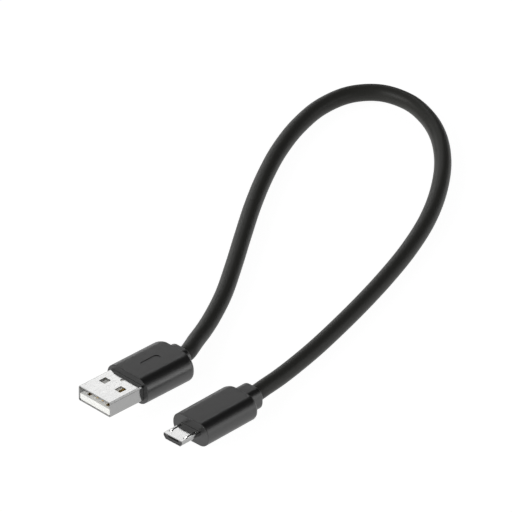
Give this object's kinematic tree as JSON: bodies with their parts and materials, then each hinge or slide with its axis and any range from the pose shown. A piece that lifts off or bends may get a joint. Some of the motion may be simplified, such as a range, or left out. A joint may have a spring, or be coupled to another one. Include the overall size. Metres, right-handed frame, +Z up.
{
  "type": "short charging cable",
  "caption": "Short round charging cable laid in one open loop, with a USB-A plug at one end and a micro-B plug with sprung latch hooks at the other.",
  "frame": {"origin": "on the surface the cable lies on, under the middle of the USB-A plug (metal tip to the end of its rear collar)", "axes": "+X along the USB-A plug from its mouth towards the cord, +Z up, so the wide faces of both plugs and the latch hooks face +Z; +Y to the left of the cord as it leaves the plug"},
  "size_m": [0.1642, 0.0997, 0.0076],
  "materials": {
    "shell_steel": "bright nickel plate with fine draw lines",
    "can_steel": "dull tin plate",
    "spring_steel": "bright spring steel",
    "gold_contact": "gold flash on copper alloy",
    "crimp_copper": "plain copper",
    "solder": "smooth solder",
    "tinned_braid": "tinned copper braid",
    "white_plastic": "moulded white thermoplastic",
    "black_insulator": "moulded black thermoplastic",
    "inner_mould": "milky polyethylene",
    "black_overmould": "satin black PVC with a fine spark-eroded grain",
    "black_jacket": "smooth satin black PVC",
    "wire_red": "red PVC insulation",
    "wire_white": "white PVC insulation",
    "wire_green": "green PVC insulation",
    "wire_black": "black PVC insulation"
  },
  "bodies": {
    "cable": {"usb_a_shell": "shell_steel", "usb_a_insulator": "white_plastic", "usb_a_contact_vbus": "gold_contact", "usb_a_contact_d_minus": "gold_contact", "usb_a_contact_d_plus": "gold_contact", "usb_a_contact_gnd": "gold_contact", "usb_a_shield_can_lower": "can_steel", "usb_a_shield_can_upper": "can_steel", "usb_a_solder_joints": "solder", "usb_a_inner_mould": "inner_mould", "usb_a_cable_clamp": "crimp_copper", "usb_a_overmould": "black_overmould", "cord_jacket": "black_jacket", "cord_shield_braid": "tinned_braid", "wire_vbus": "wire_red", "wire_d_minus": "wire_white", "wire_d_plus": "wire_green", "wire_gnd": "wire_black", "micro_b_shell": "shell_steel", "micro_b_insulator": "black_insulator", "micro_b_contact_tails": "gold_contact", "micro_b_latch_base": "spring_steel", "micro_b_shield_can_lower": "can_steel", "micro_b_shield_can_upper": "can_steel", "micro_b_solder_joints": "solder", "micro_b_inner_mould": "inner_mould", "micro_b_cable_clamp": "crimp_copper", "micro_b_overmould": "black_overmould"},
    "contact_1": {"micro_b_contact_spring_1": "gold_contact"},
    "contact_2": {"micro_b_contact_spring_2": "gold_contact"},
    "contact_3": {"micro_b_contact_spring_3": "gold_contact"},
    "contact_4": {"micro_b_contact_spring_4": "gold_contact"},
    "contact_5": {"micro_b_contact_spring_5": "gold_contact"},
    "latch_left": {"micro_b_latch_left": "spring_steel"},
    "latch_right": {"micro_b_latch_right": "spring_steel"}
  },
  "joints": [
    {"name": "contact_1_flex", "type": "hinge", "parent": "cable", "child": "contact_1", "pos_m": [-0.00796, -0.02787, 0.00334], "axis": [0.0349, -0.9994, 0], "range_deg": [0, 4], "stiffness_Nm_per_rad": 0.03},
    {"name": "contact_2_flex", "type": "hinge", "parent": "cable", "child": "contact_2", "pos_m": [-0.00798, -0.02722, 0.00334], "axis": [0.0349, -0.9994, 0], "range_deg": [0, 4], "stiffness_Nm_per_rad": 0.03},
    {"name": "contact_3_flex", "type": "hinge", "parent": "cable", "child": "contact_3", "pos_m": [-0.008, -0.02657, 0.00334], "axis": [0.0349, -0.9994, 0], "range_deg": [0, 4], "stiffness_Nm_per_rad": 0.03},
    {"name": "contact_4_flex", "type": "hinge", "parent": "cable", "child": "contact_4", "pos_m": [-0.00803, -0.02592, 0.00334], "axis": [0.0349, -0.9994, 0], "range_deg": [0, 4], "stiffness_Nm_per_rad": 0.03},
    {"name": "contact_5_flex", "type": "hinge", "parent": "cable", "child": "contact_5", "pos_m": [-0.00805, -0.02527, 0.00334], "axis": [0.0349, -0.9994, 0], "range_deg": [0, 4], "stiffness_Nm_per_rad": 0.03},
    {"name": "latch_left_press", "type": "hinge", "parent": "cable", "child": "latch_left", "pos_m": [-0.00689, -0.02395, 0.00385], "axis": [0.0349, -0.9994, 0], "range_deg": [0, 5], "stiffness_Nm_per_rad": 0.12},
    {"name": "latch_right_press", "type": "hinge", "parent": "cable", "child": "latch_right", "pos_m": [-0.00671, -0.0291, 0.00385], "axis": [0.0349, -0.9994, 0], "range_deg": [0, 5], "stiffness_Nm_per_rad": 0.12}
  ]
}
